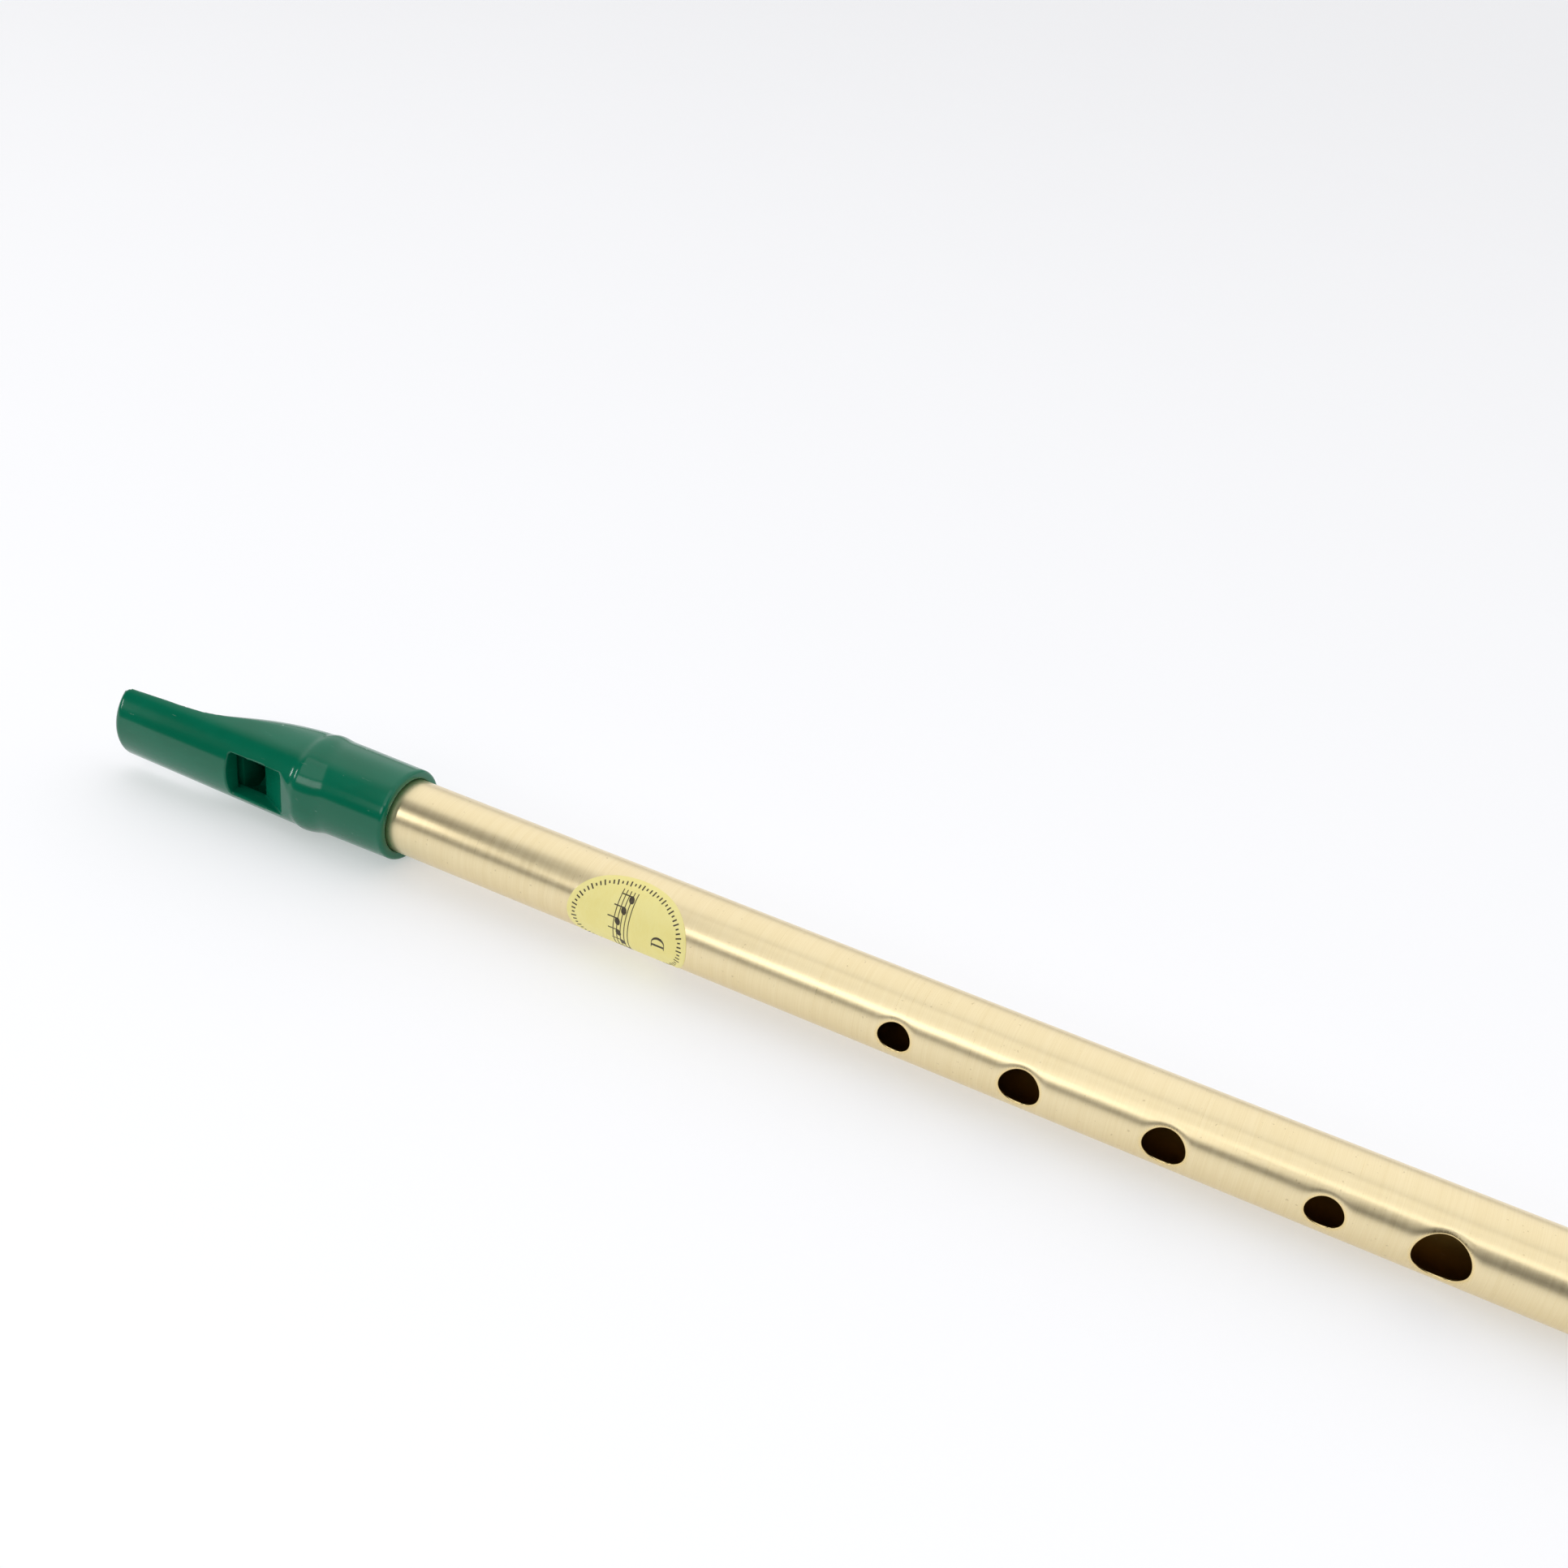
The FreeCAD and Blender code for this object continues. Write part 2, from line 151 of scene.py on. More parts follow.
def makeBrass():
    look = {
        "pale": (0.88, 0.75, 0.475),
        "deep": (0.83, 0.69, 0.41),
        "polished": (0.86, 0.66, 0.30),
        "inside": (0.34, 0.20, 0.045),
        "brushing": (9000.0, 90.0, 90.0),      # fine lines round the tube
        "bands": (900.0, 25.0, 25.0),
        "cloud": (70.0, 160.0, 160.0),
        "specks": (1500.0, 1500.0, 1500.0),
        "stain": (0.42, 0.30, 0.14),
        "lineDepth": 0.0062 * mm,
        "roughness": 0.31,
    }
    material, tree = newMaterial("brushedBrass")
    place = objectPlace(tree)
    lines = noise(tree, place, look["brushing"], 3.0, 0.65)
    bands = noise(tree, place, look["bands"], 3.0, 0.6)
    cloud = noise(tree, place, look["cloud"], 2.0)
    rim = addNode(tree, "ShaderNodeAttribute", {"attribute_name": "rim"}, output="Fac")
    inner = addNode(tree, "ShaderNodeAttribute", {"attribute_name": "inner"}, output="Fac")
    shade = smoothRange(lines * 0.5 + bands * 0.35 + cloud * 0.15, 0.36, 0.64)
    colour = mixColour(tree, shade, look["deep"], look["pale"])
    colour = mixColour(tree, rim * 0.7, colour, look["polished"])
    colour = mixColour(tree, inner, colour, look["inside"])
    specks = noise(tree, place, look["specks"], 1.0)
    stain = smoothRange(specks, 0.73, 0.79) * 0.35
    colour = mixColour(tree, stain, colour, look["stain"])
    rough = look["roughness"] + (lines - 0.5) * 0.14 + (bands - 0.5) * 0.08 - rim * 0.08 + inner * 0.12
    relief = bump(tree, lines * (1 - rim * 0.8), look["lineDepth"])
    finishSurface(tree, Base_Color=colour, Metallic=1.0, Roughness=rough, Normal=relief)
    return material


def makePlastic(name, shadeTint=1.0):
    look = {
        # a tint below 1 darkens both greens, as painted shade
        "green": (0.0002 * shadeTint, 0.132 * shadeTint, 0.067 * shadeTint),
        "light": (0.001 * shadeTint, 0.150 * shadeTint, 0.079 * shadeTint),
        "dust": (0.46, 0.60, 0.53),
        "dustCells": 420.0,
        "roughness": 0.14,
        "refraction": 1.42,
    }
    material, tree = newMaterial(name)
    place = objectPlace(tree)
    flow = noise(tree, place, (60.0, 160.0, 160.0), 3.0)
    pebble = noise(tree, place, (2200.0, 2200.0, 2200.0), 2.0)
    handling = noise(tree, place, (420.0, 420.0, 420.0), 4.0, 0.7)
    dustCells = addNode(tree, "ShaderNodeTexVoronoi", None, {"Vector": place, "Scale": look["dustCells"]})
    dustSize = addNode(tree, "ShaderNodeTexWhiteNoise", None, {"Vector": dustCells.out("Position")})
    dust = smoothRange(dustCells, 0.085, 0.045) * smoothRange(dustSize, 0.80, 0.90)
    scratch = noise(tree, place, (300.0, 4200.0, 1400.0), 1.0)
    scratches = smoothRange(scratch, 0.70, 0.75) * smoothRange(handling, 0.5, 0.62)
    colour = mixColour(tree, smoothRange(flow, 0.35, 0.65), look["green"], look["light"])
    colour = mixColour(tree, dust * 0.8, colour, look["dust"])
    colour = mixColour(tree, scratches * 0.12, colour, look["dust"])
    rough = look["roughness"] + (handling - 0.5) * 0.07 + dust * 0.4 + scratches * 0.10
    relief = bump(tree, flow, 0.03 * mm, 0.25)
    relief = bump(tree, pebble, 0.0012 * mm, 0.5, relief)
    finishSurface(tree, Base_Color=colour, Roughness=rough, IOR=look["refraction"], Normal=relief)
    return material


def makePaper():
    look = {"yellow": (0.955, 0.86, 0.34), "warm": (0.93, 0.82, 0.29), "roughness": 0.42}
    material, tree = newMaterial("labelPaper")
    place = objectPlace(tree)
    fibre = noise(tree, place, (2600.0, 900.0, 900.0), 4.0, 0.7)
    cloud = noise(tree, place, (260.0, 260.0, 260.0), 2.0)
    colour = mixColour(tree, smoothRange(fibre * 0.4 + cloud * 0.6, 0.36, 0.66), look["yellow"], look["warm"])
    rough = look["roughness"] + (cloud - 0.5) * 0.16
    finishSurface(tree, Base_Color=colour, Roughness=rough, Normal=bump(tree, fibre, 0.004 * mm, 0.6))
    return material


def makeInk():
    look = {"ink": (0.045, 0.033, 0.012), "thin": (0.11, 0.085, 0.035), "roughness": 0.4}
    material, tree = newMaterial("labelInk")
    place = objectPlace(tree)
    wear = noise(tree, place, (3500.0, 3500.0, 3500.0), 3.0)
    colour = mixColour(tree, smoothRange(wear, 0.45, 0.75), look["ink"], look["thin"])
    finishSurface(tree, Base_Color=colour, Roughness=look["roughness"] + (wear - 0.5) * 0.2)
    return material


brass = makeBrass()
headPlastic = makePlastic("greenPlastic")
# the block's plastic is the head's green made 8% darker, painted shade for the plug that sits behind the
# window
shadedBlockPlastic = makePlastic("greenPlasticBlockShaded", 0.92)
paper = makePaper()
ink = makeInk()
print("materials made")


# Geometry Nodes: a flat layout rolled round the tube. Flat x runs along the tube, flat y along its
# curve from the finger holes' line, and flat z is the height over the tube's outside.

def addSockets(tree, inputs):
    tree.interface.new_socket("Geometry", in_out="INPUT", socket_type="NodeSocketGeometry")
    for name, kind in inputs:
        tree.interface.new_socket(name, in_out="INPUT", socket_type=kind)
    tree.interface.new_socket("Geometry", in_out="OUTPUT", socket_type="NodeSocketGeometry")
    return addNode(tree, "NodeGroupInput")


def rollNodes(tree, geometry, given):
    place = addNode(tree, "GeometryNodeInputPosition")
    flat = addNode(tree, "ShaderNodeSeparateXYZ", None, {0: place})
    turn = flat.out("Y") / given.out("Radius")
    reach = flat.out("Z") + given.out("Radius")
    front = reach * turn.sum("COSINE", turn)
    up = reach * turn.sum("SINE", turn)
    rolled = addNode(tree, "ShaderNodeCombineXYZ", None, {0: flat, 1: 0.0 - front, 2: up})
    moved = addNode(tree, "GeometryNodeSetPosition", None, {"Geometry": geometry, "Position": rolled})
    joined = addNode(tree, "GeometryNodeMergeByDistance", None,
                     {"Geometry": moved, "Distance": given.out("Join distance")})
    real = addNode(tree, "GeometryNodeRealizeInstances", None, {"Geometry": joined})
    coated = addNode(tree, "GeometryNodeSetMaterial", None,
                     {"Geometry": real, "Material": given.out("Material")})
    addNode(tree, "NodeGroupOutput", None, {0: coated})


rollInputs = [("Radius", "NodeSocketFloat"), ("Join distance", "NodeSocketFloat"),
              ("Material", "NodeSocketMaterial")]


def makeRollTree():
    tree = bpy.data.node_groups.new("rollRound", "GeometryNodeTree")
    given = addSockets(tree, rollInputs)
    rollNodes(tree, given, given)
    return tree


def makePrintTree():         # adds the border's marks along an oval before the roll
    tree = bpy.data.node_groups.new("labelPrint", "GeometryNodeTree")
    given = addSockets(tree, rollInputs + [
        ("Centre", "NodeSocketVector"), ("Oval", "NodeSocketVector"), ("Marks", "NodeSocketInt"),
        ("Mark size", "NodeSocketVector"), ("Cuts", "NodeSocketInt")])
    ring = addNode(tree, "GeometryNodeCurvePrimitiveCircle", None, {"Resolution": 96, "Radius": 1.0})
    oval = addNode(tree, "GeometryNodeTransform", None,
                   {"Geometry": ring, "Scale": given.out("Oval"), "Translation": given.out("Centre")})
    even = addNode(tree, "GeometryNodeResampleCurve", None, {"Curve": oval, "Count": given.out("Marks")})
    tangent = addNode(tree, "GeometryNodeInputTangent")
    facing = addNode(tree, "FunctionNodeAlignRotationToVector", {"axis": "Y"}, {"Vector": tangent})
    mark = addNode(tree, "GeometryNodeMeshCube", None, {"Size": given.out("Mark size")})
    turn = addNode(tree, "GeometryNodeInputIndex")
    beat = turn.sum("MODULO", turn, 3.0)
    tall = addNode(tree, "ShaderNodeCombineXYZ", None, {0: 1.0 - beat * 0.24, 1: 1.0, 2: 1.0})
    marks = addNode(tree, "GeometryNodeInstanceOnPoints", None,
                    {"Points": even, "Instance": mark, "Rotation": facing, "Scale": tall})
    realMarks = addNode(tree, "GeometryNodeRealizeInstances", None, {"Geometry": marks})
    together = addNode(tree, "GeometryNodeJoinGeometry", None, {0: given})
    tree.links.new(realMarks.socket, together.socket.node.inputs[0])
    fine = addNode(tree, "GeometryNodeSubdivideMesh", None, {"Mesh": together, "Level": given.out("Cuts")})
    rollNodes(tree, fine, given)
    return tree


def applyTree(piece, tree, **inputs):
    modifier = piece.modifiers.new("shape", "NODES")
    modifier.node_group = tree
    for socket in tree.interface.items_tree:
        key = socket.name.replace(" ", "_")
        if socket.in_out == "INPUT" and key in inputs:
            modifier[socket.identifier] = inputs[key]
    bpy.context.view_layer.update()
    graph = bpy.context.evaluated_depsgraph_get()
    made = bpy.data.meshes.new_from_object(piece.evaluated_get(graph))
    piece.modifiers.remove(modifier)
    piece.data = made
    return piece


def newPiece(name, mesh):
    piece = bpy.data.objects.new(name, mesh)
    bpy.context.scene.collection.objects.link(piece)
    return piece


def faceOutwards(mesh):
    shape = bmesh.new()
    shape.from_mesh(mesh)
    bmesh.ops.recalc_face_normals(shape, faces=shape.faces)
    shape.to_mesh(mesh)
    shape.free()


def shadeSmooth(mesh, sharpAngle=None):
    mesh.shade_smooth()
    if sharpAngle is not None:
        mesh.set_sharp_from_angle(angle=math.radians(sharpAngle))


rollRound = makeRollTree()
joinGap = 0.002 * mm


# Tube

tube = {
    "wall": 0.4 * mm,
    "endRound": 0.10 * mm,
    "holes": [(48.5, 5.4), (69.2, 7.6), (84.7, 5.3), (107.2, 6.2), (128.8, 6.2), (148.6, 5.2)],
    "patch": 6.4 * mm,       # half the side of the square that is meshed round each hole
    "sideSteps": 24,
    "restSteps": 56,
    "skinSteps": 14,
    "wallSteps": 6,
    "lipRound": 0.10 * mm,   # how far the hole's edge opens at the outside and inside
    "dimple": 0.12 * mm,     # how deep the edge lies under the round of the tube
    "dimpleReach": 1.1 * mm,
    "polishReach": 0.45 * mm,
}


def endProfile(length):      # the wall's outline, from the foot over the outside and back inside
    corner = tube["endRound"]
    wall = tube["wall"]
    half = tube["patch"]
    steps = np.tan(np.linspace(-math.pi / 4, math.pi / 4, tube["sideSteps"] + 1))
    stations = []
    for distance, _ in tube["holes"]:
        stations += list(-distance * mm - half * steps)
    bend = np.linspace(0, math.pi / 2, 4)

    def arc(centreX, centreZ, start):
        return [(centreX + corner * math.cos(a + start), centreZ + corner * math.sin(a + start))
                for a in bend]

    rows = arc(-corner, -corner, 0)
    rows += [(x, 0.0) for x in stations]
    rows += arc(corner - length, -corner, math.pi / 2)
    rows += arc(corner - length, corner - wall, math.pi)
    rows += [(x, -wall) for x in reversed(stations)]
    rows += arc(-corner, corner - wall, 1.5 * math.pi)
    return rows


def flatWall():
    length = tubeHigh.x - tubeLow.x
    half = tube["patch"]
    side = half * np.tan(np.linspace(-math.pi / 4, math.pi / 4, tube["sideSteps"] + 1))
    girth = 2 * math.pi * tubeRadius
    rest = np.linspace(half, girth - half, tube["restSteps"] + 1)[1:]
    across = list(side) + list(rest)
    rows = endProfile(length)
    points = [(x, y, z) for x, z in rows for y in across]
    faces = []
    columns = len(across)

    def inPatch(row, nextRow, column):
        if column >= tube["sideSteps"]:
            return False
        middle = (rows[row][0] + rows[nextRow][0]) / 2
        level = rows[row][1] == rows[nextRow][1]
        return level and any(abs(middle + place * mm) < half for place, _ in tube["holes"])

    for row in range(len(rows)):
        nextRow = (row + 1) % len(rows)
        for column in range(columns - 1):
            if not inPatch(row, nextRow, column):
                first, second = row * columns + column, nextRow * columns + column
                faces.append((first, first + 1, second + 1, second))
    return points, faces


def holePatch(distance, diameter):
    # From the square on the outside in to the hole, through the wall and out to the square inside.
    # Returns the points, the faces, and how close to the hole's edge each point is.
    wall = tube["wall"]
    around = 4 * tube["sideSteps"]
    skin, through = tube["skinSteps"], tube["wallSteps"]
    turns = 2 * math.pi * np.arange(around) / around
    square = tube["patch"] / np.maximum(abs(np.cos(turns)), abs(np.sin(turns)))
    squareX, squareY = square * np.cos(turns), square * np.sin(turns)
    points, nearness, faces = [], [], []
    for ring in range(2 * skin + through + 1):
        inward = min(ring, 2 * skin + through - ring) / skin
        blend = min(1.0, inward)
        blend = 1 - (1 - blend) ** 1.7
        depth = min(1.0, max(0.0, (ring - skin) / through))
        opening = tube["lipRound"] * abs(2 * depth - 1) ** 3
        radius = diameter * mm / 2 + opening
        holeX = radius * np.cos(turns)
        holeY = tubeRadius * np.arcsin(radius * np.sin(turns) / tubeRadius)
        x = squareX + (holeX - squareX) * blend
        y = squareY + (holeY - squareY) * blend
        away = np.hypot(x - holeX, y - holeY)
        sink = tube["dimple"] * np.clip(1 - away / tube["dimpleReach"], 0, 1) ** 2.2
        height = -wall * depth - sink
        points += [(a - distance * mm, b, c) for a, b, c in zip(x, y, height)]
        nearness += list(np.clip(1 - away / tube["polishReach"], 0, 1))
    for ring in range(2 * skin + through):
        for i in range(around):
            j = (i + 1) % around
            first, second = ring * around, (ring + 1) * around
            faces.append((first + i, first + j, second + j, second + i))
    return points, faces, nearness


def makeTube():
    points, faces = flatWall()
    nearness = [0.0] * len(points)
    for distance, diameter in tube["holes"]:
        more, moreFaces, moreNear = holePatch(distance, diameter)
        faces += [tuple(len(points) + i for i in face) for face in moreFaces]
        points += more
        nearness += moreNear
    mesh = bpy.data.meshes.new("tubeWall")
    mesh.from_pydata(points, [], faces)
    rim = mesh.attributes.new("rim", "FLOAT", "POINT")
    rim.data.foreach_set("value", nearness)
    inner = mesh.attributes.new("inner", "FLOAT", "POINT")
    inner.data.foreach_set("value", [float(z < -0.6 * tube["wall"] and near < 0.5)
                                     for (_, _, z), near in zip(points, nearness)])
    piece = newPiece("brassTube", mesh)
    applyTree(piece, rollRound, Radius=tubeRadius, Join_distance=joinGap, Material=brass)
    faceOutwards(piece.data)
    shadeSmooth(piece.data)
    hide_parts("tube")
    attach(piece, "tube")
    print("tube made,", len(piece.data.polygons), "faces")


makeTube()


# Head: its surface is where a distance function is zero. The function takes points in mm, with
# s from the rim towards the foot, n from the tube's axis towards the front and t to the side.

headLength = (headHigh.x - headLow.x) / mm
ringRadius = (headHigh.z - headLow.z) / 2 / mm
head = {
    "length": headLength,
    "offset": -(headHigh.y + headLow.y) / 2 / mm,    # of the barrel's axis, towards the front
    "barrelRadius": ringRadius - 0.25,
    "tipRadius": 8.0,
    "tipRound": (0.8, 1.5),                          # at the lips and at the front
    "tipRoundDepth": (4.6, 8.0),                     # where the first rounding ends and the second is full
    "ring": (19.0, 17.9, 17.0, 13.0),                # back foot, back, front and front foot
    "ringRound": 0.10,
    "ringCrown": 0.3,                                # softening where the ring's slope starts
    "ringSink": 0.12,                                # how far its slope ends under the collar
    "ringTail": 1.0,                                 # what the ring overlaps of the barrel
    "collar": (8.2, 8.05),                           # radius at the ring and at the rim
    "rimRound": 0.6,
    "back": (15.8, 34.2, 28.0, 8.5),                 # bend's start, radius, angle and bar radius
    "backEnd": 1.4,                                  # behind the ring's back, where the bar's cut ends
    "lips": (46.0, 4.08, 0.0331),                    # a place on them, depth there, rise per mm
    "lipsBlend": 1.0,
    "edge": (0.05, 0.20),                            # rounding at the shoulder and at the lips
    "edgeGrows": (30.0, 44.0),
    "shoulderBlend": 0.10,
    "collarBlend": 0.25,
    "socket": (18.5, tubeRadius / mm + 0.03),
    "chamber": (5.88, 1.5, 4.25, 32.6),              # radius, back wall, flat's depth, end
    "seatEnd": 45.6,
    "floor": (4.1, 0.0426),                          # depth at the window and rise per mm
    "roof": (5.4, 0.0260),
    "window": (32.6, 27.4, 3.95, 0.022),             # mouth side, blade, half width and its growth
    "windowRound": 0.4,
    "windwayNarrows": 0.022,
    "ramp": ((27.4, 4.55), (21.1, 7.74), (18.35, 8.85)),
    "cutRound": 0.16,
    "cell": 0.27 * mm,
    "settleRounds": 7,
}


def roundMax(a, b, radius):  # what two solids share, its edge rounded
    return (np.minimum(-radius, np.maximum(a, b))
            + np.hypot(np.maximum(radius + a, 0), np.maximum(radius + b, 0)))


def softMin(a, b, width):    # two solids joined, the crease between them filled
    share = np.clip(0.5 + 0.5 * (b - a) / width, 0, 1)
    return b * (1 - share) + a * share - width * share * (1 - share)


def softMax(a, b, width):    # what two solids share, for surfaces that meet at a flat angle
    return -softMin(-a, -b, width)


def backDistance(s, n):      # behind the bent middle line of the barrel's back
    start, bendRadius, angle, _ = head["back"]
    angle = math.radians(angle)
    centreN = head["offset"] + bendRadius
    ds, dn = s + start, n - centreN
    bent = np.hypot(ds, dn) - bendRadius
    endS, endN = -start - bendRadius * math.sin(angle), centreN - bendRadius * math.cos(angle)
    straight = -(s - endS) * math.sin(angle) - (n - endN) * math.cos(angle)
    turn = np.arctan2(-ds, -dn)
    return np.where(turn < 0, head["offset"] - n, np.where(turn < angle, bent, straight))


def outsideDistance(s, n, t):
    length, offset = head["length"], head["offset"]
    ringFootBack, ringBack, ringTop, ringFoot = head["ring"]
    radial = np.hypot(n - offset, t)
    taper = np.clip((-ringBack - s) / (length - ringBack), 0, 1)
    barrel = radial - head["barrelRadius"] - (head["tipRadius"] - head["barrelRadius"]) * taper
    tipLow, tipHigh = head["tipRound"]
    depthLow, depthHigh = head["tipRoundDepth"]
    tipShare = np.clip((n - depthLow) / (depthHigh - depthLow), 0, 1)
    tipRound = tipLow + (tipHigh - tipLow) * tipShare
    barrel = roundMax(barrel, -length - s, tipRound)
    barrel = np.maximum(barrel, s + ringTop)
    behind = backDistance(s, n)
    bar = np.hypot(behind, t) - head["back"][3]
    lipsStart, lipsDepth, lipsRise = head["lips"]
    lips = lipsDepth + (-lipsStart - s) * lipsRise - n
    back = softMin(bar, lips, head["lipsBlend"])
    back = np.minimum(back, -ringBack - head["backEnd"] - s)
    edgeLow, edgeHigh = head["edge"]
    growStart, growEnd = head["edgeGrows"]
    share = np.clip((-growStart - s) / (growEnd - growStart), 0, 1)
    shaped = roundMax(barrel, back, edgeLow + (edgeHigh - edgeLow) * share)

    collarBack, collarRim = head["collar"]
    ringFall = ringRadius - (collarBack - offset - head["ringSink"])
    slope = math.atan2(ringFall, ringTop - ringFoot)
    front = (radial - ringRadius) * math.cos(slope) + (s + ringTop) * math.sin(slope)
    climb = math.atan2(ringRadius - head["barrelRadius"], ringFootBack - ringBack)
    behindRing = (radial - ringRadius) * math.cos(climb) - (s + ringBack) * math.sin(climb)
    crown = softMax(radial - ringRadius, front, head["ringCrown"])
    ring = softMax(crown, behindRing, head["ringRound"])
    ring = np.maximum(ring, -ringFootBack - head["ringTail"] - s)
    along = np.clip(-s / ringFoot, 0, 1)
    collar = np.hypot(n, t) - collarRim - (collarBack - collarRim) * along
    collar = roundMax(collar, s, head["rimRound"])
    collar = np.maximum(collar, -ringBack - s)
    return softMin(softMin(shaped, ring, head["shoulderBlend"]), collar, head["collarBlend"])


def hollowDistance(s, n, t):
    radial = np.hypot(n, t)
    socketDepth, socketRadius = head["socket"]
    socket = np.maximum(radial - socketRadius, -socketDepth - s)
    chamberRadius, backWall, flat, chamberEnd = head["chamber"]
    floorDepth, floorRise = head["floor"]
    roofDepth, roofRise = head["roof"]
    floor = floorDepth + (-chamberEnd - s) * floorRise
    roof = roofDepth + (-chamberEnd - s) * roofRise
    lid = n - np.where(s > -chamberEnd, flat, floor)
    inBar = np.hypot(backDistance(s, n), t) - head["back"][3] + backWall
    chamber = np.maximum.reduce([radial - chamberRadius, lid, inBar, -head["seatEnd"] - s,
                                 s + socketDepth - 1])
    mouthSide, blade, halfWidth, widening = head["window"]
    (startS, startN), (bendS, bendN), (endS, endN) = head["ramp"]
    steep, gentle = (bendN - startN) / (startS - bendS), (endN - bendN) / (bendS - endS)
    ramp = (bendN + (s + bendS) * steep - n) / math.hypot(1, steep)
    relief = (bendN + (s + bendS) * gentle - n) / math.hypot(1, gentle)
    mouth = np.maximum(floorDepth - n, s + blade)
    sides = abs(t) - halfWidth - (s + mouthSide) * widening
    plan = roundMax(sides, -mouthSide - s, head["windowRound"])
    window = np.maximum(plan, np.minimum(mouth, np.minimum(ramp, relief)))
    narrowed = halfWidth + np.minimum(0, s + mouthSide) * head["windwayNarrows"]
    windway = np.maximum.reduce([abs(t) - narrowed, floor - n, n - roof, s + mouthSide - 1])
    return np.minimum.reduce([socket, chamber, window, windway])


def headDistance(points):
    s, n, t = points[:, 0], -points[:, 1], points[:, 2]
    return roundMax(outsideDistance(s, n, t), -hollowDistance(s, n, t), head["cutRound"])


def slopeOf(distance, points, step=0.01):
    slope = np.empty_like(points)
    for axis in range(3):
        shift = np.zeros(3)
        shift[axis] = step
        slope[:, axis] = (distance(points + shift) - distance(points - shift)) / (2 * step)
    return slope


def settle(distance, points, edges, rounds):
    # Brings the points onto the surface, and evens them out along it.
    count = np.bincount(edges.ravel(), minlength=len(points))[:, None]
    for turn in range(rounds):
        if turn > 1:
            total = np.zeros_like(points)
            np.add.at(total, edges[:, 0], points[edges[:, 1]])
            np.add.at(total, edges[:, 1], points[edges[:, 0]])
            shift = total / count - points
            normal = slopeOf(distance, points)
            normal /= np.linalg.norm(normal, axis=1, keepdims=True) + 1e-9
            shift -= normal * (shift * normal).sum(1, keepdims=True)
            points = points + 0.5 * shift
        for _ in range(3):
            slope = slopeOf(distance, points)
            size = (slope * slope).sum(1)
            step = distance(points) / np.maximum(size, 0.2)
            points = points - slope * np.clip(step, -0.3, 0.3)[:, None]
    return points


def makeHead():
    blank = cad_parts["mouthpiece_head"].data.copy()
    shape = bmesh.new()
    shape.from_mesh(blank)
    bmesh.ops.remove_doubles(shape, verts=shape.verts, dist=joinGap)
    shape.to_mesh(blank)
    shape.free()
    piece = newPiece("mouthpieceHead", blank)
    cells = piece.modifiers.new("cells", "REMESH")
    cells.mode = "VOXEL"
    cells.voxel_size = head["cell"]
    graph = bpy.context.evaluated_depsgraph_get()
    piece.data = bpy.data.meshes.new_from_object(piece.evaluated_get(graph))
    piece.modifiers.remove(cells)
    mesh = piece.data
    points = np.empty(len(mesh.vertices) * 3)
    mesh.vertices.foreach_get("co", points)
    points = points.reshape(-1, 3)
    points[:, 0] -= rimX
    points /= mm
    edges = np.empty(len(mesh.edges) * 2, dtype=np.int64)
    mesh.edges.foreach_get("vertices", edges)
    points = settle(headDistance, points, edges.reshape(-1, 2), head["settleRounds"])
    print("head settled, largest miss", round(float(abs(headDistance(points)).max()), 3), "mm")
    points *= mm
    points[:, 0] += rimX
    mesh.vertices.foreach_set("co", points.ravel())
    mesh.update()
    mesh.materials.clear()
    mesh.materials.append(headPlastic)
    shadeSmooth(mesh)
    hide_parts("mouthpiece_head")
    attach(piece, "head")
    print("head made,", len(mesh.polygons), "faces")


makeHead()


# Block: the plug behind the window, with its moulded edges softened

block = {"edge": 0.14 * mm, "edgeSteps": 3, "edgeAngle": 35, "sharpAngle": 30, "flatAngle": 1}


def makeBlock():
    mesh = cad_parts["fipple_block"].data.copy()
    shape = bmesh.new()
    shape.from_mesh(mesh)
    bmesh.ops.remove_doubles(shape, verts=shape.verts, dist=joinGap)
    bmesh.ops.dissolve_limit(shape, angle_limit=math.radians(block["flatAngle"]),
                             verts=shape.verts, edges=shape.edges)
    shape.to_mesh(mesh)
    shape.free()
    piece = newPiece("fippleBlock", mesh)
    edge = piece.modifiers.new("edge", "BEVEL")
    edge.width = block["edge"]
    edge.segments = block["edgeSteps"]
    edge.angle_limit = math.radians(block["edgeAngle"])
    graph = bpy.context.evaluated_depsgraph_get()
    piece.data = bpy.data.meshes.new_from_object(piece.evaluated_get(graph))
    piece.modifiers.remove(edge)
    piece.data.materials.clear()
    piece.data.materials.append(shadedBlockPlastic)
    shadeSmooth(piece.data, block["sharpAngle"])
    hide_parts("fipple_block")
    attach(piece, "head")
    print("block made,", len(piece.data.polygons), "faces")


makeBlock()


# Label and its print

label = {
    "centre": Vector(((labelLow.x + labelHigh.x) / 2, 0, 0)),
    "halfLength": (labelHigh.x - labelLow.x) / 2,
    "halfWidth": 8.8 * mm,
    "thick": 0.08 * mm,
    "inkThick": 0.012 * mm,
    "edgeRound": 0.02 * mm,
    "sharpAngle": 50,
    "rings": 30,
    "around": 144,
}


